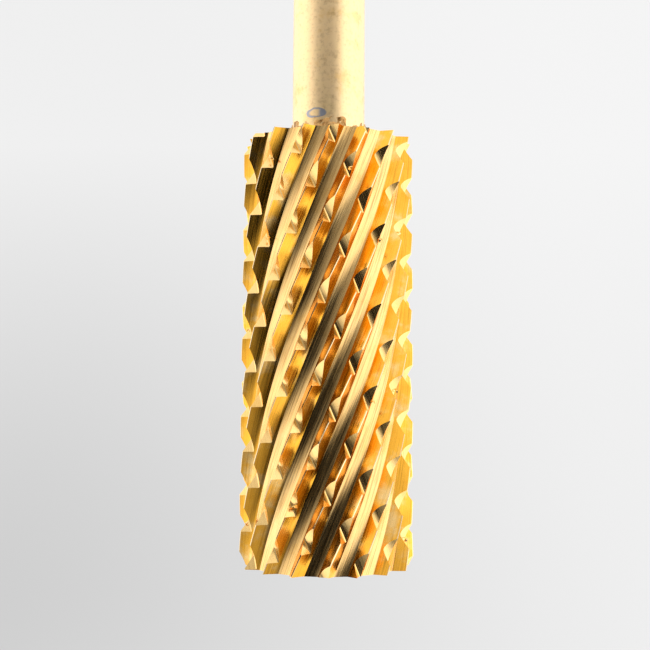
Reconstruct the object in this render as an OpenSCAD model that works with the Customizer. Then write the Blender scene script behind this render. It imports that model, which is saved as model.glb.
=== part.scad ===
// Cross-cut rotary end mill: a fluted carbide head brazed to a stepped steel shank.
// The tip face stands on Z = 0, the axis is +Z, and the shank's free end is at the top.

/* [Head] */
// Diameter over the crests of the teeth
head_d = 5.5; // [4.5:0.1:6.5]
// Length of the toothed head
head_l = 13.5; // [8:0.1:16]

/* [Flutes] */
// Number of flutes, which run as a right-hand helix
flutes = 17; // [12:1:20]
// Helix angle of the flutes at the crests, in degrees
flute_angle = 25.3; // [12:0.1:30]
// Turn of the first crest at the tip, from the front, in degrees
flute_start = -1.0; // [-10:0.1:10]
// Depth of the flutes below the crests
flute_depth = 0.36; // [0.25:0.01:0.5]
// Flat floor of a flute, as a share of its pitch
floor_share = 0.51; // [0.3:0.01:0.6]
// Lean of the cutting face, as a share of the pitch
rake_share = 0.21; // [0.05:0.01:0.25]
// Narrow land on each crest, as a share of the pitch
land_share = 0.02; // [0.01:0.01:0.1]

/* [Cross cuts] */
// Number of chip-breaking grooves, which run as a left-hand helix
cross_cuts = 13; // [8:1:14]
// Helix angle of the cross cuts at the crests, in degrees
cross_angle = 25.7; // [12:0.1:30]
// Depth of the cross cuts below the crests
cross_depth = 0.3; // [0.15:0.01:0.35]
// Lean of a cross cut's steep wall, nearer the tip, from the radial, in degrees
steep_wall = 34; // [20:1:50]
// Lean of a cross cut's shallow wall, nearer the shank, from the radial, in degrees
shallow_wall = 56; // [40:1:60]
// Turn of the first cross cut's bottom at the tip, from the front, in degrees
cross_start = -3.9; // [-13:0.1:13]

/* [Shank] */
// Diameter of the shank, a standard collet size
shank_d = 2.35; // [2:0.01:3]
// Length of the whole tool
overall_l = 44.5; // [38:0.5:60]
// Chamfer round the shank's free end
end_chamfer = 0.3; // [0.1:0.05:0.5]
// Diameter of the spigot that the head's blind socket takes
spigot_d = 1.9; // [1.5:0.05:2]
// Length of the spigot below the shank's shoulder
spigot_l = 3; // [2:0.1:5]
// Chamfer round the shank's shoulder
shoulder_chamfer = 0.1; // [0.05:0.01:0.15]

/* [Braze] */
// Thickness of the braze film round the spigot and under the shoulder
film = 0.05; // [0.03:0.01:0.07]
// Height and width of the braze fillet at the neck
fillet = 0.3; // [0.15:0.01:0.4]

/* [Hidden] */

crest_r = head_d / 2;
floor_r = crest_r - flute_depth;
shank_r = shank_d / 2;
spigot_r = spigot_d / 2;
shoulder_r = shank_r - shoulder_chamfer;
socket_r = spigot_r + film;
fillet_r = shank_r + fillet;

socket_floor_z = head_l - spigot_l;
spigot_foot_z = socket_floor_z + film;
shoulder_z = head_l + film;

pitch = 360 / flutes;
// Turn of a helix over the head's length, from its angle at the crests
function helix_turn(angle) = head_l * tan(angle) / crest_r * 180 / PI;
flute_turn = helix_turn(flute_angle);
cross_turn = helix_turn(cross_angle);
slices = 24;
round_fn = 96;

// A point at a radius and at a turn measured from the front (-Y) towards +X
function polar(r, a) = [r * sin(a), -r * cos(a)];

// One flute and the tooth behind it: floor, cutting face, crest land, then the back
// of the tooth, which falls to the next flute's root.
function tooth_points(start) = [
    polar(floor_r, start - (floor_share + rake_share) * pitch),
    polar(floor_r, start - rake_share * pitch),
    polar(crest_r, start),
    polar(crest_r, start + land_share * pitch)
];

module fluted_blank() {
    outline = [for (i = [0 : flutes - 1]) each tooth_points(flute_start + i * pitch)];
    linear_extrude(height = head_l, twist = -flute_turn, slices = slices)
        polygon(outline);
}

// The V of one cross cut in the plane across the axis, carried on past the crests
module cross_cut_outline(a) {
    spare = 0.2;
    reach = (cross_depth + spare) / cos(cross_angle);
    polygon([
        polar(crest_r - cross_depth, a),
        polar(crest_r + spare, a + reach * tan(shallow_wall) / crest_r * 180 / PI),
        polar(crest_r + spare, a - reach * tan(steep_wall) / crest_r * 180 / PI)
    ]);
}

module cross_cut_grooves() {
    linear_extrude(height = head_l, twist = cross_turn, slices = slices)
        for (i = [0 : cross_cuts - 1])
            cross_cut_outline(cross_start + i * 360 / cross_cuts);
}

// Carbide head: flutes crossed by chip breakers, with a blind socket for the spigot
module cutting_head() {
    color("goldenrod")
        difference() {
            fluted_blank();
            cross_cut_grooves();
            translate([0, 0, socket_floor_z])
                cylinder(h = spigot_l + 1, r = socket_r, $fn = round_fn);
        }
}

// Braze alloy: a film round the spigot and under the shoulder, and a fillet at the neck
module braze_joint() {
    arc_steps = 6;
    top_z = head_l + fillet;
    color("darkgoldenrod")
        rotate_extrude($fn = round_fn)
            polygon(concat(
                [
                    [0, socket_floor_z],
                    [socket_r, socket_floor_z],
                    [socket_r, head_l]
                ],
                [for (i = [0 : arc_steps]) [
                    fillet_r - fillet * sin(i * 90 / arc_steps),
                    top_z - fillet * cos(i * 90 / arc_steps)
                ]],
                [
                    [shank_r, top_z],
                    [shank_r, shoulder_z + shoulder_chamfer],
                    [shoulder_r, shoulder_z],
                    [spigot_r, shoulder_z],
                    [spigot_r, spigot_foot_z],
                    [0, spigot_foot_z]
                ]
            ));
}

// Steel shank: a spigot in the head's socket, a chamfered shoulder that seats on the braze
// over the head's back face, then a plain cylinder to a chamfered free end
module shank() {
    body_foot_z = shoulder_z + shoulder_chamfer;
    body_top_z = overall_l - end_chamfer;
    color("gold") {
        translate([0, 0, spigot_foot_z])
            cylinder(h = shoulder_z - spigot_foot_z, r = spigot_r, $fn = round_fn);
        translate([0, 0, shoulder_z])
            cylinder(h = shoulder_chamfer, r1 = shoulder_r, r2 = shank_r, $fn = round_fn);
        translate([0, 0, body_foot_z])
            cylinder(h = body_top_z - body_foot_z, r = shank_r, $fn = round_fn);
        translate([0, 0, body_top_z])
            cylinder(h = end_chamfer, r1 = shank_r, r2 = shank_r - end_chamfer, $fn = round_fn);
    }
}

cutting_head();
braze_joint();
shank();
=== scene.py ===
"""Cross-cut rotary end mill, modelled round its fixed frame and laid out as a Blender add-on."""

import math
import random

import bmesh
import bpy
from mathutils import Matrix, Vector


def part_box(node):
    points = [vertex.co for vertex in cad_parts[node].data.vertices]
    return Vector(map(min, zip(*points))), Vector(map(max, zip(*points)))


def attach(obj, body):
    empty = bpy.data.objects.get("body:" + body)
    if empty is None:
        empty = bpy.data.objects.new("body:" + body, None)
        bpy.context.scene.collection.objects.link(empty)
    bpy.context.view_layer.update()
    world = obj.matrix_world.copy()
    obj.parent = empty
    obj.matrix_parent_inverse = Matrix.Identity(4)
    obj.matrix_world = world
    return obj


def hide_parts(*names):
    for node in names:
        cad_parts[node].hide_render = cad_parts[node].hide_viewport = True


bl_info = {
    "name": "Rotary End Mill",
    "version": (1, 0, 0),
    "blender": (4, 5, 0),
    "location": "View3D > Sidebar > End Mill",
    "description": "Models a brazed, gold-coated, cross-cut rotary end mill and its stage",
    "category": "Add Mesh",
}

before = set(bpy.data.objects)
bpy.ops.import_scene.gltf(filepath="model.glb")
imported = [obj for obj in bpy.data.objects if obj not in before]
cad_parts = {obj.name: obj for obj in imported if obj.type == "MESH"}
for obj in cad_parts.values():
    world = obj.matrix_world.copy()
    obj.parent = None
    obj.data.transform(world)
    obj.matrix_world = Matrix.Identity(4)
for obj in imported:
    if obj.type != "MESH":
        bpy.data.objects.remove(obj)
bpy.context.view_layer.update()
HEAD_LOW, HEAD_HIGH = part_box("cutting_head")
BRAZE_LOW, BRAZE_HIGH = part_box("braze_joint")
SHANK_LOW, SHANK_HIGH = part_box("shank")

MM = 0.001
FULL_TURN = 2 * math.pi
ORIGIN = (0, 0, 0)
# Points of a mesh that lie closer than this are one point
MERGE_GAP = 0.0001 * MM
SOCKET_SIDES = 96
SHANK_SIDES = 128


# ---------------------------------------------------------------- settings

class HeadSettings(bpy.types.PropertyGroup):
    """Sizes of the toothed head."""

    diameter: bpy.props.FloatProperty(
        name="Diameter", description="Diameter over the crests of the teeth",
        default=min(HEAD_HIGH.x - HEAD_LOW.x, HEAD_HIGH.y - HEAD_LOW.y), unit="LENGTH")
    length: bpy.props.FloatProperty(
        name="Length", description="Length of the toothed head",
        default=HEAD_HIGH.z - HEAD_LOW.z, unit="LENGTH")
    flutes: bpy.props.IntProperty(
        name="Flutes", description="Number of right-hand flutes", default=17, min=12, max=20)
    flute_angle: bpy.props.FloatProperty(
        name="Flute angle", description="Helix angle of the flutes at the crests",
        default=math.radians(25.3), subtype="ANGLE")
    flute_depth: bpy.props.FloatProperty(
        name="Flute depth", description="Depth of a flute below the crests",
        default=0.389 * MM, unit="LENGTH")
    flute_start: bpy.props.FloatProperty(
        name="Flute start", description="Turn of the first crest at the tip, from the front",
        default=math.radians(-1.0), subtype="ANGLE")
    cross_cuts: bpy.props.IntProperty(
        name="Cross cuts", description="Number of left-hand chip breakers", default=13)
    cross_angle: bpy.props.FloatProperty(
        name="Cross angle", description="Helix angle of the cross cuts at the crests",
        default=math.radians(25.7), subtype="ANGLE")
    cross_depth: bpy.props.FloatProperty(
        name="Cross depth", description="Depth of a cross cut below the crests",
        default=0.3 * MM, unit="LENGTH")
    cross_start: bpy.props.FloatProperty(
        name="Cross start", description="Turn of the first cross cut at the tip, from the front",
        default=math.radians(-3.9), subtype="ANGLE")
    socket_diameter: bpy.props.FloatProperty(
        name="Socket", description="Diameter of the blind socket for the spigot",
        default=2.0 * MM, unit="LENGTH")
    burrs: bpy.props.IntProperty(
        name="Burrs", description="Number of curled burrs left beside the notches", default=22)
    burr_size: bpy.props.FloatProperty(
        name="Burr size", description="Size of the largest burr",
        default=0.22 * MM, unit="LENGTH")
    steps: bpy.props.IntProperty(
        name="Steps", description="Steps along the head in each helix", default=96)


class ShankSettings(bpy.types.PropertyGroup):
    """Sizes of the shank and of the braze round its foot, and the place of its mark."""

    spigot_diameter: bpy.props.FloatProperty(
        name="Spigot", description="Diameter of the spigot in the head's socket",
        default=1.9 * MM, unit="LENGTH")
    shoulder_chamfer: bpy.props.FloatProperty(
        name="Shoulder chamfer", description="Chamfer round the shoulder above the spigot",
        default=0.1 * MM, unit="LENGTH")
    end_chamfer: bpy.props.FloatProperty(
        name="End chamfer", description="Chamfer round the free end",
        default=0.3 * MM, unit="LENGTH")
    fillet_rise: bpy.props.FloatProperty(
        name="Fillet rise", description="How far the braze has climbed the shank at its highest",
        default=0.6 * MM, unit="LENGTH")
    lumps: bpy.props.FloatProperty(
        name="Lumps", description="Unevenness of the braze at the neck",
        default=0.065 * MM, unit="LENGTH")
    mark_place: bpy.props.FloatVectorProperty(
        name="Mark place", description="Centre of the uncoated mark, from the middle of the neck",
        subtype="TRANSLATION", size=3, default=(-0.39 * MM, -1.1 * MM, 0.74 * MM))


class FinishSettings(bpy.types.PropertyGroup):
    """Colours of the coating and the braze. The coating's colour differs by face only as painted
    light: deeper amber on the tooth sides as painted reflection, paler gold on the floors, cross
    cuts and ends as painted highlight.
    """

    # Deeper amber on the sides of the teeth: painted reflection of light bounced between the
    # flutes
    tooth_gold: bpy.props.FloatVectorProperty(
        name="Tooth gold", description="Colour of the coating on the sides of the teeth",
        subtype="COLOR", size=3, default=(1.0, 0.50, 0.055))
    # Paler gold on the flute floors: painted highlight
    floor_gold: bpy.props.FloatVectorProperty(
        name="Floor gold", description="Colour of the coating on the ground floors",
        subtype="COLOR", size=3, default=(1.0, 0.63, 0.24))
    # Paler gold in the cross cuts and on the ends: painted highlight
    wall_highlight_gold: bpy.props.FloatVectorProperty(
        name="Wall gold", description="Colour of the coating in the cross cuts and on the ends",
        subtype="COLOR", size=3, default=(1.0, 0.66, 0.25))
    shank_gold: bpy.props.FloatVectorProperty(
        name="Shank gold", description="Colour of the coating on the shank",
        subtype="COLOR", size=3, default=(1.0, 0.72, 0.39))
    bare_steel: bpy.props.FloatVectorProperty(
        name="Bare steel", description="Colour where the coating is missing",
        subtype="COLOR", size=3, default=(0.36, 0.37, 0.42))
    braze: bpy.props.FloatVectorProperty(
        name="Braze", description="Colour of the braze alloy",
        subtype="COLOR", size=3, default=(0.62, 0.36, 0.14))


class StageSettings(bpy.types.PropertyGroup):
    """Camera and backdrop."""

    lens: bpy.props.FloatProperty(
        name="Lens", description="Focal length of the camera", default=57.7, unit="CAMERA")
    camera_at: bpy.props.FloatVectorProperty(
        name="Camera place", description="Where the camera stands",
        subtype="TRANSLATION", size=3, default=(-0.08 * MM, -33.55 * MM, 5.53 * MM))
    camera_pitch: bpy.props.FloatProperty(
        name="Camera pitch", description="How far the camera looks up",
        default=math.radians(5.09), subtype="ANGLE")
    camera_roll: bpy.props.FloatProperty(
        name="Camera roll", description="How far the camera leans to its right",
        default=math.radians(0.36), subtype="ANGLE")
    camera_shift: bpy.props.FloatProperty(
        name="Camera shift", description="Vertical shift of the picture", default=-0.046)
    # The colour that the floor and backdrop glow with, as painted light
    backdrop: bpy.props.FloatVectorProperty(
        name="Backdrop", description="Colour of the floor and backdrop",
        subtype="COLOR", size=3, default=(0.90, 0.90, 0.90))


# ---------------------------------------------------------------- modelling helpers

def start_clean():
    """Leaves edit mode and deselects everything."""
    if bpy.context.object and bpy.context.object.mode != "OBJECT":
        bpy.ops.object.mode_set(mode="OBJECT")
    bpy.ops.object.select_all(action="DESELECT")


def named(name):
    """Names the new primitive and its mesh, and gives it back."""
    piece = bpy.context.object
    piece.name = name
    piece.data.name = name
    return piece


def start_with(piece):
    """Selects one piece alone and makes it the active one."""
    start_clean()
    piece.select_set(True)
    bpy.context.view_layer.objects.active = piece


def edit(piece, select="VERT"):
    """Opens a piece in edit mode with nothing selected."""
    start_with(piece)
    bpy.ops.object.mode_set(mode="EDIT")
    bpy.ops.mesh.select_mode(type=select)
    bpy.ops.mesh.select_all(action="DESELECT")


def pick(piece, kind, wanted):
    """Selects just the verts, edges or faces that wanted() accepts."""
    bpy.ops.mesh.select_all(action="DESELECT")
    mesh = bmesh.from_edit_mesh(piece.data)
    for item in getattr(mesh, kind):
        if wanted(item):
            item.select_set(True)
    mesh.select_flush_mode()
    bmesh.update_edit_mesh(piece.data)


def close_edit():
    """Goes back to object mode."""
    bpy.ops.object.mode_set(mode="OBJECT")


def finish_with(piece, kind, **settings):
    """Adds a modifier to a piece and applies it."""
    start_with(piece)
    modifier = piece.modifiers.new(kind.title(), kind)
    for key, value in settings.items():
        setattr(modifier, key, value)
    bpy.ops.object.modifier_apply(modifier=modifier.name)


def settle(piece, smooth_angle):
    """Puts the place into the mesh, turns the faces outwards and smooths the soft edges."""
    edit(piece)
    bpy.ops.mesh.select_all(action="SELECT")
    bpy.ops.mesh.remove_doubles(threshold=MERGE_GAP)
    bpy.ops.mesh.normals_make_consistent(inside=False)
    close_edit()
    bpy.ops.object.transform_apply(location=True, rotation=True, scale=True)
    bpy.ops.object.shade_smooth_by_angle(angle=smooth_angle)


def twist(piece, turn, length, steps):
    """Carries a flat outline up the axis as a helix and closes its ends."""
    finish_with(piece, "SCREW", axis="Z", angle=turn, screw_offset=length,
                steps=steps, render_steps=steps, use_smooth_shade=False)
    edit(piece)
    bpy.ops.mesh.select_all(action="SELECT")
    bpy.ops.mesh.remove_doubles(threshold=MERGE_GAP)
    bpy.ops.mesh.fill_holes(sides=0)
    bpy.ops.mesh.select_all(action="SELECT")
    bpy.ops.mesh.normals_make_consistent(inside=False)
    close_edit()


def cut(piece, cutter):
    """Takes the cutter's shape out of a piece and removes the cutter."""
    finish_with(piece, "BOOLEAN", operation="DIFFERENCE", solver="EXACT",
                material_mode="TRANSFER", object=cutter)
    bpy.data.objects.remove(cutter)


def turned(name, rings, sides):
    """A turned part: a disc at the first ring, then each ring extruded from the last.

    A ring is (radius, height). The last ring is closed with a face."""
    start_clean()
    radius, height = rings[0]
    bpy.ops.mesh.primitive_circle_add(
        vertices=sides, radius=radius, fill_type="NGON", location=(0, 0, height))
    piece = named(name)
    bpy.ops.object.transform_apply(location=True)
    edit(piece, "FACE")
    bpy.ops.mesh.select_all(action="SELECT")
    for new_radius, new_height in rings[1:]:
        bpy.ops.mesh.extrude_region_move(
            TRANSFORM_OT_translate={"value": (0, 0, new_height - height)})
        grow = new_radius / radius
        bpy.ops.transform.resize(value=(grow, grow, 1), center_override=(0, 0, new_height))
        radius, height = new_radius, new_height
    close_edit()
    return piece


def around(point):
    """Turn of a point about the axis, from the front (-Y) towards +X."""
    return math.atan2(point.x, -point.y)


def ring_order(piece):
    """Numbers of a ring's vertices in order of their turn, and the turn of the first."""
    points = [v.co.copy() for v in piece.data.vertices]
    slack = 0.25 * FULL_TURN / len(points)
    order = sorted(range(len(points)), key=lambda i: (around(points[i]) + slack) % FULL_TURN)
    return order, around(points[order[0]])


def swing(turn):
    """Turns the selection about the axis, from the front towards +X."""
    bpy.ops.transform.rotate(value=-turn, orient_axis="Z", center_override=ORIGIN)


def shape_verts(piece, members, turn, factor):
    """Turns some vertices of a ring about the axis and draws them in by a factor."""
    pick(piece, "verts", lambda v: v.index in members)
    swing(turn)
    bpy.ops.transform.resize(value=(factor, factor, 1), center_override=ORIGIN)


def dress(piece, material, wanted):
    """Gives a material to the faces that wanted() accepts."""
    if material.name not in piece.data.materials:
        piece.data.materials.append(material)
    edit(piece, "FACE")
    pick(piece, "faces", wanted)
    piece.active_material_index = piece.data.materials.find(material.name)
    bpy.ops.object.material_slot_assign()
    close_edit()


# ---------------------------------------------------------------- node helpers

DEEP_TINT = (0.90, 0.82, 0.62, 1)
PALE_GOLD = (1, 0.75, 0.36, 1)
STREAK_TINT = (0.30, 0.22, 0.14, 1)
# Pale gold of the painted highlight along the crests
CREST_HIGHLIGHT_GOLD = (1, 0.86, 0.58, 1)


def put(tree, kind, sockets=None, **settings):
    """Adds a shader node, sets its properties, and fills or links its sockets."""
    made = tree.nodes.new("ShaderNode" + kind)
    for key, value in settings.items():
        setattr(made, key, value)
    for key, value in (sockets or {}).items():
        if isinstance(value, bpy.types.NodeSocket):
            tree.links.new(value, made.inputs[key])
        else:
            made.inputs[key].default_value = value
    return made


def calc(tree, operation, *values):
    """Works out one step of arithmetic on one or two plain values."""
    return put(tree, "Math", dict(enumerate(values)), operation=operation).outputs[0]


def vector(tree, operation, *values):
    """Works out one step on one or two vectors, and gives all its outputs."""
    return put(tree, "VectorMath", dict(enumerate(values)), operation=operation).outputs


def carry(tree, value, span, onto=(0.0, 1.0), kind="LINEAR"):
    """Carries a value from one span onto another, held at both ends."""
    made = put(tree, "MapRange", {"Value": value, "From Min": span[0], "From Max": span[1],
                                  "To Min": onto[0], "To Max": onto[1]}, interpolation_type=kind)
    return made.outputs[0]


def ease(tree, value, span, onto=(0.0, 1.0)):
    """As carry(), with soft ends."""
    return carry(tree, value, span, onto, "SMOOTHSTEP")


def mix_colours(tree, share, first, second, blend="MIX"):
    """Lays a second colour over the first by a share."""
    made = put(tree, "Mix", {0: share, 6: first, 7: second}, data_type="RGBA", blend_type=blend)
    return made.outputs[2]


def mix_values(tree, share, first, second):
    """Goes from a first plain value to a second by a share."""
    return put(tree, "Mix", {0: share, 2: first, 3: second}, data_type="FLOAT").outputs[0]


def new_group(name, inputs, outputs):
    """Starts a node group with named sockets, and gives its tree, its inputs and its exit."""
    tree = bpy.data.node_groups.new(name, "ShaderNodeTree")
    for label, kind, value in inputs:
        socket = tree.interface.new_socket(label, in_out="INPUT", socket_type=kind)
        if value is not None:
            socket.default_value = value
    for label, kind in outputs:
        tree.interface.new_socket(label, in_out="OUTPUT", socket_type=kind)
    entry = tree.nodes.new("NodeGroupInput")
    leave = tree.nodes.new("NodeGroupOutput")
    return tree, entry.outputs, leave


def use_group(tree, name, **sockets):
    """Places a shared group, which is built when it is first used.

    Underscores in the keywords stand for spaces."""
    if name not in bpy.data.node_groups:
        GROUP_MAKERS[name]()
    made = tree.nodes.new("ShaderNodeGroup")
    made.node_tree = bpy.data.node_groups[name]
    for key, value in sockets.items():
        key = key.replace("_", " ")
        if isinstance(value, bpy.types.NodeSocket):
            tree.links.new(value, made.inputs[key])
        else:
            made.inputs[key].default_value = value
    return made.outputs


def rgba(colour):
    """A colour with full alpha."""
    return (*colour, 1.0)


def make_helix_grain():
    """Fine lines that follow a helix: the space is untwisted first, so the lines have no seam."""
    tree, given, leave = new_group("helix_grain", [
        ("Position", "NodeSocketVector", None),
        ("Turn per metre", "NodeSocketFloat", 0.0),
        ("Lines per metre", "NodeSocketFloat", 20000.0),
        ("Stretch", "NodeSocketFloat", 0.03),
    ], [("Grain", "NodeSocketFloat")])
    height = put(tree, "SeparateXYZ", {0: given["Position"]}).outputs["Z"]
    back = calc(tree, "MULTIPLY", calc(tree, "MULTIPLY", height, given["Turn per metre"]), -1.0)
    untwisted = put(tree, "VectorRotate", {"Vector": given["Position"], "Angle": back},
                    rotation_type="Z_AXIS")
    along = calc(tree, "MULTIPLY", given["Lines per metre"], given["Stretch"])
    scale = put(tree, "CombineXYZ", {"X": given["Lines per metre"], "Y": given["Lines per metre"],
                                     "Z": along})
    spot = vector(tree, "MULTIPLY", untwisted.outputs[0], scale.outputs[0])[0]
    lines = put(tree, "TexNoise", {"Vector": spot, "Scale": 1.0, "Detail": 3.0, "Roughness": 0.6})
    tree.links.new(lines.outputs[0], leave.inputs["Grain"])


def make_coating_tone():
    """Slow drift of the coating between paler, main and deeper gold, with fine dark streaks."""
    tree, given, leave = new_group("coating_tone", [
        ("Position", "NodeSocketVector", None),
        ("Gold", "NodeSocketColor", None),
        ("Patch scale", "NodeSocketFloat", 900.0),
        ("Grain", "NodeSocketFloat", 0.5),
        ("Streaks", "NodeSocketFloat", 0.3),
        ("Pale share", "NodeSocketFloat", 0.35),
    ], [("Color", "NodeSocketColor")])
    patches = put(tree, "TexNoise", {"Vector": given["Position"], "Scale": given["Patch scale"],
                                     "Detail": 4.0, "Roughness": 0.65})
    low = ease(tree, patches.outputs[0], (0.5, 0.3), (0.0, 0.7))
    high = ease(tree, patches.outputs[0], (0.5, 0.7), (0.0, given["Pale share"]))
    deeper = mix_colours(tree, low, given["Gold"], DEEP_TINT, "MULTIPLY")
    paler = mix_colours(tree, high, deeper, PALE_GOLD)
    dark = carry(tree, given["Grain"], (0.52, 0.3), (0.0, given["Streaks"]))
    streaked = mix_colours(tree, dark, paler, STREAK_TINT, "MULTIPLY")
    tree.links.new(streaked, leave.inputs["Color"])


def make_crest_highlight():
    """A painted highlight: a thin pale line along the crests of the teeth."""
    tree, given, leave = new_group("crest_wear", [
        ("Position", "NodeSocketVector", None),
        ("Crest radius", "NodeSocketFloat", 2.75 * MM),
        ("Width", "NodeSocketFloat", 0.03 * MM),
    ], [("Mask", "NodeSocketFloat")])
    flat = vector(tree, "MULTIPLY", given["Position"], (1, 1, 0))[0]
    reach = vector(tree, "LENGTH", flat)["Value"]
    start = calc(tree, "SUBTRACT", given["Crest radius"], given["Width"])
    mask = ease(tree, reach, (start, given["Crest radius"]))
    tree.links.new(mask, leave.inputs["Mask"])


def make_oval_mark():
    """An oval ring on the front, filled at its right-hand end, where a coating has missed."""
    tree, given, leave = new_group("oval_mark", [
        ("Position", "NodeSocketVector", None),
        ("Centre", "NodeSocketVector", None),
        ("Half width", "NodeSocketFloat", 0.34 * MM),
        ("Half height", "NodeSocketFloat", 0.17 * MM),
        ("Wobble", "NodeSocketFloat", 0.12 * MM),
    ], [("Mask", "NodeSocketFloat")])
    wobble = put(tree, "TexNoise", {"Vector": given["Position"], "Scale": 3000.0})
    shift = vector(tree, "SUBTRACT", wobble.outputs["Color"], (0.5, 0.5, 0.5))[0]
    small = put(tree, "VectorMath", {0: shift, "Scale": given["Wobble"]}, operation="SCALE")
    bent = vector(tree, "ADD", given["Position"], small.outputs[0])[0]
    local = vector(tree, "SUBTRACT", bent, given["Centre"])[0]
    size = put(tree, "CombineXYZ", {"X": given["Half width"], "Y": 1.0,
                                    "Z": given["Half height"]})
    share = vector(tree, "DIVIDE", local, size.outputs[0])[0]
    reach = vector(tree, "LENGTH", share)["Value"]
    inside = ease(tree, reach, (1.05, 0.9))
    rim = ease(tree, reach, (0.55, 0.85))
    right = ease(tree, put(tree, "SeparateXYZ", {0: share}).outputs["X"], (0.1, 0.5))
    drawn = calc(tree, "MAXIMUM", rim, right)
    front = put(tree, "SeparateXYZ", {0: given["Position"]}).outputs["Y"]
    facing = calc(tree, "LESS_THAN", front, 0.0)
    shown = calc(tree, "MULTIPLY", calc(tree, "MULTIPLY", inside, drawn), facing)
    tree.links.new(shown, leave.inputs["Mask"])


GROUP_MAKERS = {
    "helix_grain": make_helix_grain,
    "coating_tone": make_coating_tone,
    "crest_wear": make_crest_highlight,
    "oval_mark": make_oval_mark,
}


def coated_metal(name, gold, turn, lines, grain_height, roughness, stretch=0.03, streaks=0.3,
                 patch_scale=900.0, pale_share=0.35, highlight_share=0.0):
    """Gold-coated ground metal, whose grinding lines follow a helix of that turn per metre.

    Lines are counted per metre across the grain, and stretch is how many there are along it
    for each one across. Roughness is that of the grain's hollows and of its ridges."""
    material = bpy.data.materials.new(name)
    material.use_nodes = True
    tree = material.node_tree
    shader = tree.nodes["Principled BSDF"]
    place = put(tree, "TexCoord").outputs["Object"]
    grain = use_group(tree, "helix_grain", Position=place, Turn_per_metre=turn,
                      Lines_per_metre=lines, Stretch=stretch)["Grain"]
    tone = use_group(tree, "coating_tone", Position=place, Gold=rgba(gold),
                     Patch_scale=patch_scale, Grain=grain, Streaks=streaks,
                     Pale_share=pale_share)["Color"]
    highlight_mask = use_group(tree, "crest_wear", Position=place)["Mask"]
    # Painted highlight: a thin pale line laid along the crests over the coating's tone
    colour = mix_colours(tree, calc(tree, "MULTIPLY", highlight_mask, highlight_share), tone, CREST_HIGHLIGHT_GOLD)
    rough = carry(tree, grain, (0.3, 0.7), roughness)
    bump = put(tree, "Bump", {"Height": grain, "Distance": grain_height, "Strength": 1.0})
    tree.links.new(colour, shader.inputs["Base Color"])
    tree.links.new(rough, shader.inputs["Roughness"])
    tree.links.new(bump.outputs[0], shader.inputs["Normal"])
    shader.inputs["Metallic"].default_value = 1.0
    return material


# ---------------------------------------------------------------- the cutting head

# One tooth and its flute as (share of the pitch after the crest, share of the flute's depth)
TOOTH = (
    (0.000, 0.000),
    (0.018, 0.015),
    (0.060, 0.206),
    (0.110, 0.411),
    (0.160, 0.578),
    (0.210, 0.733),
    (0.260, 0.866),
    (0.310, 0.956),
    (0.380, 0.987),
    (0.540, 1.000),
    (0.700, 0.982),
    (0.770, 0.941),
    (0.800, 0.848),
    (0.880, 0.494),
    (0.960, 0.159),
    (0.985, 0.041),
)
# Depth from which a face belongs to the floor, as a share of the flute's depth
FLOOR_FROM = 0.93

# One cross cut as (offset from its bottom, depth below the crest), both as shares of its
# depth: the steep wall, the bottom, then the hollow wall that rises towards the shank
CROSS_CUT = (
    (-1.400, -0.933),
    (-0.687, 0.000),
    (-0.067, 0.950),
    (0.067, 1.000),
    (0.333, 0.920),
    (0.633, 0.753),
    (0.967, 0.507),
    (1.267, 0.227),
    (1.483, 0.000),
    (2.333, -0.933),
)

BURR_SEED = 5


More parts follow.
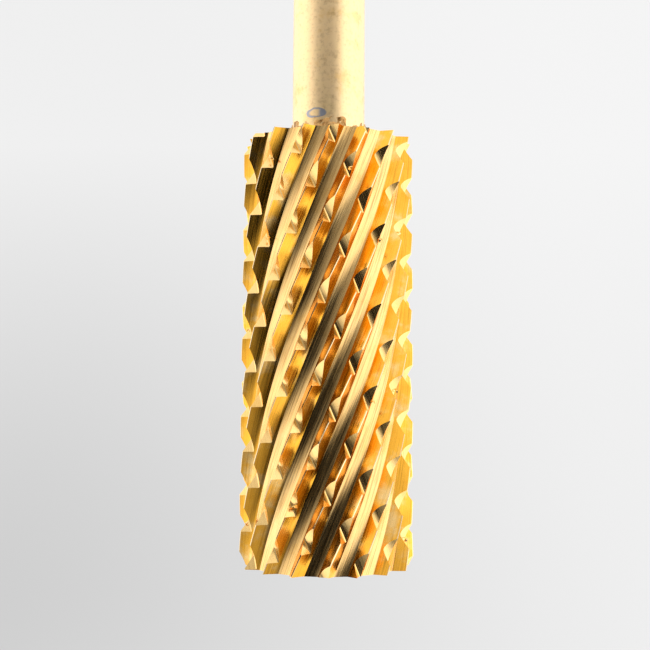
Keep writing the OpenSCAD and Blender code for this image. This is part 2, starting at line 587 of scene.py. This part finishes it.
class MESH_OT_mill_head(bpy.types.Operator):
    """Model the fluted and cross-cut carbide head"""

    bl_idname = "mesh.mill_head"
    bl_label = "Cutting Head"
    bl_options = {"REGISTER", "UNDO"}

    def execute(self, context):
        head, finish = context.scene.mill_head, context.scene.mill_finish
        crest_r = head.diameter / 2
        flute_rate = math.tan(head.flute_angle) / crest_r
        cross_rate = math.tan(head.cross_angle) / crest_r
        # One coating in colours by face: the tooth sides deeper amber as painted reflection, the
        # floors, cross cuts and ends paler as painted highlight
        tooth = coated_metal(
            "tooth_gold", finish.tooth_gold, flute_rate, lines=24000,
            grain_height=0.0016 * MM, roughness=(0.12, 0.30), streaks=0.45, pale_share=0.65,
            highlight_share=0.8)
        floor = coated_metal(
            "flute_floor_gold", finish.floor_gold, flute_rate, lines=19000,
            grain_height=0.003 * MM, roughness=(0.12, 0.30), streaks=0.7)
        notch = coated_metal(
            "cross_cut_gold", finish.wall_highlight_gold, -cross_rate, lines=30000,
            grain_height=0.0016 * MM, roughness=(0.14, 0.32), streaks=0.2, highlight_share=0.5)
        faced = coated_metal(
            "end_face_gold", finish.wall_highlight_gold, 0, lines=12000,
            grain_height=0.001 * MM, roughness=(0.22, 0.40), stretch=1.0)
        piece = self.fluted_blank(head, crest_r, flute_rate)
        piece.data.materials.append(tooth)
        floor_r = crest_r - FLOOR_FROM * head.flute_depth
        dress(piece, floor, lambda f: all(v.co.xy.length < floor_r for v in f.verts))
        grooves = self.grooves(head, crest_r, cross_rate)
        grooves.data.materials.append(notch)
        cut(piece, grooves)
        socket = self.socket(head)
        socket.data.materials.append(faced)
        cut(piece, socket)
        settle(piece, smooth_angle=math.radians(24))
        nearly_level = 0.98
        dress(piece, faced, lambda f: abs(f.normal.z) > nearly_level)
        self.add_burrs(piece, head, crest_r, flute_rate, cross_rate, notch)
        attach(piece, "root")
        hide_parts("cutting_head")
        return {"FINISHED"}

    def fluted_blank(self, head, crest_r, flute_rate):
        """A ring of teeth shaped from a plain circle, then twisted up the axis."""
        pitch = FULL_TURN / head.flutes
        per_tooth = len(TOOTH)
        start_clean()
        bpy.ops.mesh.primitive_circle_add(
            vertices=head.flutes * per_tooth, radius=crest_r, fill_type="NOTHING", location=ORIGIN)
        piece = named("cutting_head_cross_cut")
        order, first = ring_order(piece)
        edit(piece)
        for step, (share, depth) in enumerate(TOOTH):
            now = first + step * pitch / per_tooth
            shape_verts(piece, set(order[step::per_tooth]),
                        head.flute_start + share * pitch - now,
                        1 - depth * head.flute_depth / crest_r)
        close_edit()
        twist(piece, flute_rate * head.length, head.length, head.steps)
        return piece

    def grooves(self, head, crest_r, cross_rate):
        """Cutters all round, twisted the other way and longer than the head."""
        over = 0.3 * MM
        start_clean()
        bpy.ops.mesh.primitive_circle_add(
            vertices=len(CROSS_CUT), radius=crest_r, fill_type="NOTHING", location=ORIGIN)
        piece = named("cross_cut_grooves")
        order, first = ring_order(piece)
        edit(piece)
        for step, (offset, depth) in enumerate(CROSS_CUT):
            now = first + step * FULL_TURN / len(CROSS_CUT)
            wanted = offset * head.cross_depth / math.cos(head.cross_angle) / crest_r
            shape_verts(piece, {order[step]}, wanted - now,
                        1 - depth * head.cross_depth / crest_r)
        bpy.ops.mesh.select_all(action="SELECT")
        bpy.ops.mesh.spin(steps=head.cross_cuts, angle=FULL_TURN, dupli=True,
                          center=ORIGIN, axis=(0, 0, 1))
        bpy.ops.mesh.select_all(action="SELECT")
        bpy.ops.mesh.remove_doubles(threshold=MERGE_GAP)
        bpy.ops.mesh.select_all(action="SELECT")
        swing(head.cross_start + cross_rate * over)
        bpy.ops.transform.translate(value=(0, 0, -over))
        close_edit()
        length = head.length + 2 * over
        twist(piece, -cross_rate * length, length, head.steps)
        return piece

    def burr(self, size):
        """One curled burr: a thin section carried round a closing spiral."""
        thin, wide, steps, curl, shrink = 0.12, 0.6, 8, math.radians(28), 0.92
        start_clean()
        bpy.ops.mesh.primitive_plane_add(size=size, location=(size / 2, 0, 0))
        piece = named("burr")
        bpy.ops.object.transform_apply(location=True)
        edit(piece, "FACE")
        bpy.ops.mesh.select_all(action="SELECT")
        bpy.ops.transform.resize(value=(thin, wide, 1), center_override=(size / 2, 0, 0))
        for _ in range(steps):
            bpy.ops.mesh.extrude_region_move(TRANSFORM_OT_translate={"value": ORIGIN})
            bpy.ops.transform.rotate(value=curl, orient_axis="Y", center_override=ORIGIN)
            bpy.ops.transform.resize(value=(shrink, shrink, shrink), center_override=ORIGIN)
        close_edit()
        settle(piece, smooth_angle=math.radians(40))
        return piece

    def crossings(self, head, flute_rate, cross_rate):
        """Turn and height of each place where a cross cut meets a crest, clear of both ends."""
        clear = 0.3 * MM
        places = []
        for tooth in range(head.flutes):
            for groove in range(head.cross_cuts * 2):
                crest = head.flute_start + tooth * FULL_TURN / head.flutes
                bottom = head.cross_start + groove * FULL_TURN / head.cross_cuts
                height = (bottom - crest) / (flute_rate + cross_rate)
                if clear < height < head.length - clear:
                    places.append((crest + flute_rate * height, height))
        return places

    def add_burrs(self, piece, head, crest_r, flute_rate, cross_rate, material):
        """Sets curled burrs on the backs of some teeth, just behind a notch."""
        behind, deep = (0.03, 0.07), (0.15 * MM, 0.22 * MM)
        lean, spin, least = 0.9, 0.8, 0.5
        shuffle = random.Random(BURR_SEED)
        model = self.burr(head.burr_size)
        model.data.materials.append(material)
        copies = []
        places = self.crossings(head, flute_rate, cross_rate)
        for turn, height in shuffle.sample(places, head.burrs):
            copy = model.copy()
            copy.data = model.data.copy()
            bpy.context.collection.objects.link(copy)
            turn += shuffle.uniform(*behind)
            reach = crest_r - shuffle.uniform(*deep)
            copy.location = (reach * math.sin(turn), -reach * math.cos(turn), height)
            copy.rotation_euler = (shuffle.uniform(-lean, lean), shuffle.uniform(-lean, lean),
                                   turn + shuffle.uniform(-spin, spin))
            copy.scale = [shuffle.uniform(least, 1.0)] * 3
            copies.append(copy)
        bpy.data.objects.remove(model)
        start_with(piece)
        for copy in copies:
            copy.select_set(True)
        bpy.ops.object.join()

    def socket(self, head):
        """The cutter for the blind socket that takes the braze and the spigot."""
        start_clean()
        depth = HEAD_HIGH.z - BRAZE_LOW.z
        bpy.ops.mesh.primitive_cylinder_add(
            vertices=SOCKET_SIDES, radius=head.socket_diameter / 2, depth=depth * 2,
            location=(0, 0, HEAD_HIGH.z))
        return named("socket_cutter")


# ---------------------------------------------------------------- the braze and the shank

class MESH_OT_mill_braze(bpy.types.Operator):
    """Model the braze film and its fillet at the neck"""

    bl_idname = "mesh.mill_braze"
    bl_label = "Braze Joint"
    bl_options = {"REGISTER", "UNDO"}

    def execute(self, context):
        shank = context.scene.mill_shank
        shank_r = (SHANK_HIGH.x - SHANK_LOW.x) / 2
        film = SHANK_LOW.z - BRAZE_LOW.z
        spigot_r = shank.spigot_diameter / 2
        socket_r = spigot_r + film
        neck_z = HEAD_HIGH.z
        foot_r = (BRAZE_HIGH.x - BRAZE_LOW.x) / 2
        wide, rise = foot_r - shank_r, shank.fillet_rise
        arc_steps = 12
        rings = [(socket_r, BRAZE_LOW.z), (socket_r, neck_z)]
        for step in range(arc_steps + 1):
            turn = math.radians(90) * step / arc_steps
            rings.append((foot_r - wide * math.sin(turn), neck_z + rise * (1 - math.cos(turn))))
        # The braze's top edge and its inner wall run a film's width inside the shank
        rings += [
            (shank_r - film, neck_z + rise + film / 2),
            (shank_r - film, neck_z + 2 * film),
            (spigot_r, neck_z + film),
            (spigot_r, SHANK_LOW.z),
        ]
        piece = turned("braze_fillet", rings, SOCKET_SIDES)
        edit(piece)
        pick(piece, "verts", lambda v: (
            v.co.z > neck_z + film and v.co.xy.length > shank_r - film / 2))
        for seed in (3, 8):
            bpy.ops.transform.vertex_random(offset=shank.lumps, uniform=0.2, normal=0.6, seed=seed)
            bpy.ops.mesh.vertices_smooth(factor=0.5, repeat=1)
        close_edit()
        settle(piece, smooth_angle=math.radians(50))
        piece.data.materials.append(braze_metal())
        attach(piece, "root")
        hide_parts("braze_joint")
        return {"FINISHED"}


def braze_metal():
    """Dull brownish gold with small dark pits."""
    finish = bpy.context.scene.mill_finish
    material = bpy.data.materials.new("brazed_fillet")
    material.use_nodes = True
    tree = material.node_tree
    shader = tree.nodes["Principled BSDF"]
    place = put(tree, "TexCoord").outputs["Object"]
    pits = put(tree, "TexNoise", {"Vector": place, "Scale": 7000.0, "Detail": 4.0})
    tone = use_group(tree, "coating_tone", Position=place, Gold=rgba(finish.braze),
                     Patch_scale=2500.0, Grain=pits.outputs[0], Streaks=0.8)
    bump = put(tree, "Bump", {"Height": pits.outputs[0], "Distance": 0.03 * MM})
    tree.links.new(tone["Color"], shader.inputs["Base Color"])
    tree.links.new(bump.outputs[0], shader.inputs["Normal"])
    shader.inputs["Metallic"].default_value = 1.0
    shader.inputs["Roughness"].default_value = 0.45
    return material


class MESH_OT_mill_shank(bpy.types.Operator):
    """Model the stepped shank with its spigot and its chamfered free end"""

    bl_idname = "mesh.mill_shank"
    bl_label = "Shank"
    bl_options = {"REGISTER", "UNDO"}

    def execute(self, context):
        shank, finish = context.scene.mill_shank, context.scene.mill_finish
        radius = (SHANK_HIGH.x - SHANK_LOW.x) / 2
        spigot_r = shank.spigot_diameter / 2
        shoulder_z = HEAD_HIGH.z + SHANK_LOW.z - BRAZE_LOW.z
        rings = [
            (spigot_r, SHANK_LOW.z),
            (spigot_r, shoulder_z),
            (radius - shank.shoulder_chamfer, shoulder_z),
            (radius, shoulder_z + shank.shoulder_chamfer),
            (radius, SHANK_HIGH.z - shank.end_chamfer),
            (radius - shank.end_chamfer, SHANK_HIGH.z),
        ]
        piece = turned("shank_round", rings, SHANK_SIDES)
        settle(piece, smooth_angle=math.radians(30))
        material = coated_metal(
            "shank_gold", finish.shank_gold, 0, lines=9000, grain_height=0.002 * MM,
            roughness=(0.30, 0.42), stretch=1.0, streaks=0.25, patch_scale=1500.0)
        mark_at = Vector(shank.mark_place) + Vector((0, 0, HEAD_HIGH.z))
        add_bare_mark(material, finish.bare_steel, mark_at)
        piece.data.materials.append(material)
        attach(piece, "root")
        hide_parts("shank")
        return {"FINISHED"}


def add_bare_mark(material, bare, centre):
    """Lays the uncoated mark over a material's colour."""
    tree = material.node_tree
    shader = tree.nodes["Principled BSDF"]
    place = put(tree, "TexCoord").outputs["Object"]
    mark = use_group(tree, "oval_mark", Position=place, Centre=centre)["Mask"]
    under = shader.inputs["Base Color"].links[0].from_socket
    tree.links.new(mix_colours(tree, mark, under, rgba(bare)), shader.inputs["Base Color"])


# ---------------------------------------------------------------- the stage

# Light of the tent's brightest part, and of its parts round the tool as (degrees from the
# camera towards the right, share of the brightest), with the dark gap at zero
TENT_LIGHT = 1.75
TENT = (
    (-180, 0.15), (-168, 0.20), (-150, 0.75), (-115, 0.90), (-90, 0.90), (-75, 0.86),
    (-56, 0.55), (-42, 0.18), (-29, 0.00), (21, 0.00), (30, 0.20), (41, 0.88),
    (80, 1.00), (125, 0.85), (150, 0.75), (168, 0.20), (180, 0.15),
)
# The tent by height above the horizon, in degrees: the span over which its gap brightens,
# with the gap's light below and above it, then the spans where the roof and the floor take
# over, with their light
GAP_SPAN, GAP_LOW, GAP_HIGH = (4, 19), 0.015, 0.50
ROOF_SPAN, ROOF_LIGHT = (26, 44), 1.25
FLOOR_SPAN, FLOOR_LIGHT = (-33, -50), 0.60
# What the camera itself sees of the tent
SEEN_LIGHT = 0.86


def by_rise(tree, rise, degrees, below, above):
    """A brightness that goes from one value to another over a span of heights."""
    span = [math.radians(d) for d in degrees]
    return mix_values(tree, ease(tree, rise, span), below, above)


class SCENE_OT_mill_stage(bpy.types.Operator):
    """Set the backdrop, the light and the camera"""

    bl_idname = "scene.mill_stage"
    bl_label = "Stage"
    bl_options = {"REGISTER", "UNDO"}

    def execute(self, context):
        stage = context.scene.mill_stage
        self.sweep(stage)
        self.tent()
        self.camera(stage)
        context.scene.view_settings.view_transform = "Standard"
        return {"FINISHED"}

    def sweep(self, stage):
        """A floor that curves up into a backdrop."""
        start_clean()
        wide, deep, tall, low, bend = 0.6, 0.5, 0.4, -0.03, 0.1
        forward, slack = 0.05, 1e-4
        bpy.ops.mesh.primitive_plane_add(size=1, location=(0, -forward, low))
        piece = named("studio_sweep")
        piece.scale = (wide, deep, 1)
        bpy.ops.object.transform_apply(location=True, rotation=True, scale=True)
        back = max(v.co.y for v in piece.data.vertices)
        edit(piece, "EDGE")
        pick(piece, "edges", lambda e: all(v.co.y > back - slack for v in e.verts))
        bpy.ops.mesh.extrude_region_move(TRANSFORM_OT_translate={"value": (0, 0, tall)})
        pick(piece, "edges", lambda e: all(
            v.co.y > back - slack and v.co.z < low + slack for v in e.verts))
        bpy.ops.mesh.bevel(offset=bend, segments=16, affect="EDGES")
        close_edit()
        bpy.ops.object.shade_smooth()
        piece.data.materials.append(self.paper(stage))
        piece.visible_glossy = False

    def paper(self, stage):
        """Pale paper that glows with painted light, a little darker towards the lower left as
        painted shade.
        """
        material = bpy.data.materials.new("sweep_paper")
        material.use_nodes = True
        tree = material.node_tree
        shader = tree.nodes["Principled BSDF"]
        place = put(tree, "SeparateXYZ", {0: put(tree, "TexCoord").outputs["Object"]})
        # Painted light: the paper glows, dimmer lower down and more so on the left, as painted
        # shade
        heights, sides = (-0.03, 0.06), (-0.06, 0.06)
        left = carry(tree, place.outputs["Z"], heights, (0.52, 0.86))
        right = carry(tree, place.outputs["Z"], heights, (0.80, 0.90))
        painted_glow = mix_values(tree, ease(tree, place.outputs["X"], sides), left, right)
        tree.links.new(painted_glow, shader.inputs["Emission Strength"])
        shader.inputs["Emission Color"].default_value = rgba(stage.backdrop)
        shader.inputs["Base Color"].default_value = (0.1, 0.1, 0.1, 1)
        shader.inputs["Roughness"].default_value = 0.9
        return material

    def tent(self):
        """A light tent as the world: bright all round, with a dark gap for the camera."""
        world = bpy.data.worlds.new("light_tent")
        bpy.context.scene.world = world
        world.use_nodes = True
        tree = world.node_tree
        ray = put(tree, "TexCoord").outputs["Generated"]
        place = put(tree, "SeparateXYZ", {0: ray})
        front = calc(tree, "MULTIPLY", place.outputs["Y"], -1.0)
        turn = calc(tree, "ARCTAN2", place.outputs["X"], front)
        belt = put(tree, "ValToRGB", {0: carry(tree, turn, (-math.pi, math.pi))})
        steps = belt.color_ramp.elements
        while len(steps) < len(TENT):
            steps.new(1.0)
        for index, (degrees, light) in enumerate(TENT):
            steps[index].position = degrees / 360 + 0.5
            steps[index].color = (light, light, light, 1)
        rise = calc(tree, "ARCSINE", place.outputs["Z"])
        gap = by_rise(tree, rise, GAP_SPAN, GAP_LOW, GAP_HIGH)
        round_light = mix_values(tree, belt.outputs[0], gap, TENT_LIGHT)
        roofed = by_rise(tree, rise, ROOF_SPAN, round_light, ROOF_LIGHT)
        closed = by_rise(tree, rise, FLOOR_SPAN, roofed, FLOOR_LIGHT)
        seen = put(tree, "LightPath").outputs["Is Camera Ray"]
        shown = mix_values(tree, seen, closed, SEEN_LIGHT)
        background = tree.nodes["Background"]
        tree.links.new(shown, background.inputs["Color"])
        background.inputs["Strength"].default_value = 1.0

    def camera(self, stage):
        """The camera, level with the lower half of the head and looking slightly up."""
        start_clean()
        bpy.ops.object.camera_add(location=stage.camera_at)
        camera = bpy.context.object
        camera.name = "front_camera"
        camera.data.lens = stage.lens
        camera.data.shift_y = stage.camera_shift
        camera.data.clip_start = MM
        camera.data.clip_end = 5.0
        turn = (Matrix.Rotation(math.radians(90) + stage.camera_pitch, 4, "X")
                @ Matrix.Rotation(stage.camera_roll, 4, "Z"))
        camera.matrix_world = Matrix.Translation(Vector(stage.camera_at)) @ turn
        bpy.context.scene.camera = camera


# ---------------------------------------------------------------- panel and registration

class VIEW3D_PT_mill(bpy.types.Panel):
    """Lists the operators and the settings."""

    bl_label = "End Mill"
    bl_idname = "VIEW3D_PT_mill"
    bl_space_type = "VIEW_3D"
    bl_region_type = "UI"
    bl_category = "End Mill"

    def draw(self, context):
        for operator in OPERATORS:
            self.layout.operator(operator.bl_idname)
        for name, kind in SETTINGS.items():
            box = self.layout.box()
            for key in kind.__annotations__:
                box.prop(getattr(context.scene, name), key)


OPERATORS = (MESH_OT_mill_head, MESH_OT_mill_braze, MESH_OT_mill_shank, SCENE_OT_mill_stage)
SETTINGS = {
    "mill_head": HeadSettings,
    "mill_shank": ShankSettings,
    "mill_finish": FinishSettings,
    "mill_stage": StageSettings,
}


def register():
    """Registers the classes and hangs the settings on the scene."""
    for kind in (*SETTINGS.values(), *OPERATORS, VIEW3D_PT_mill):
        bpy.utils.register_class(kind)
    for name, kind in SETTINGS.items():
        setattr(bpy.types.Scene, name, bpy.props.PointerProperty(type=kind))


def unregister():
    """Takes away what register() added."""
    for name in SETTINGS:
        delattr(bpy.types.Scene, name)
    for kind in (VIEW3D_PT_mill, *OPERATORS, *SETTINGS.values()):
        bpy.utils.unregister_class(kind)


def main():
    """Models the tool and its stage."""
    register()
    bpy.ops.mesh.mill_head()
    bpy.ops.mesh.mill_braze()
    bpy.ops.mesh.mill_shank()
    bpy.ops.scene.mill_stage()


if __name__ == "__main__":
    main()
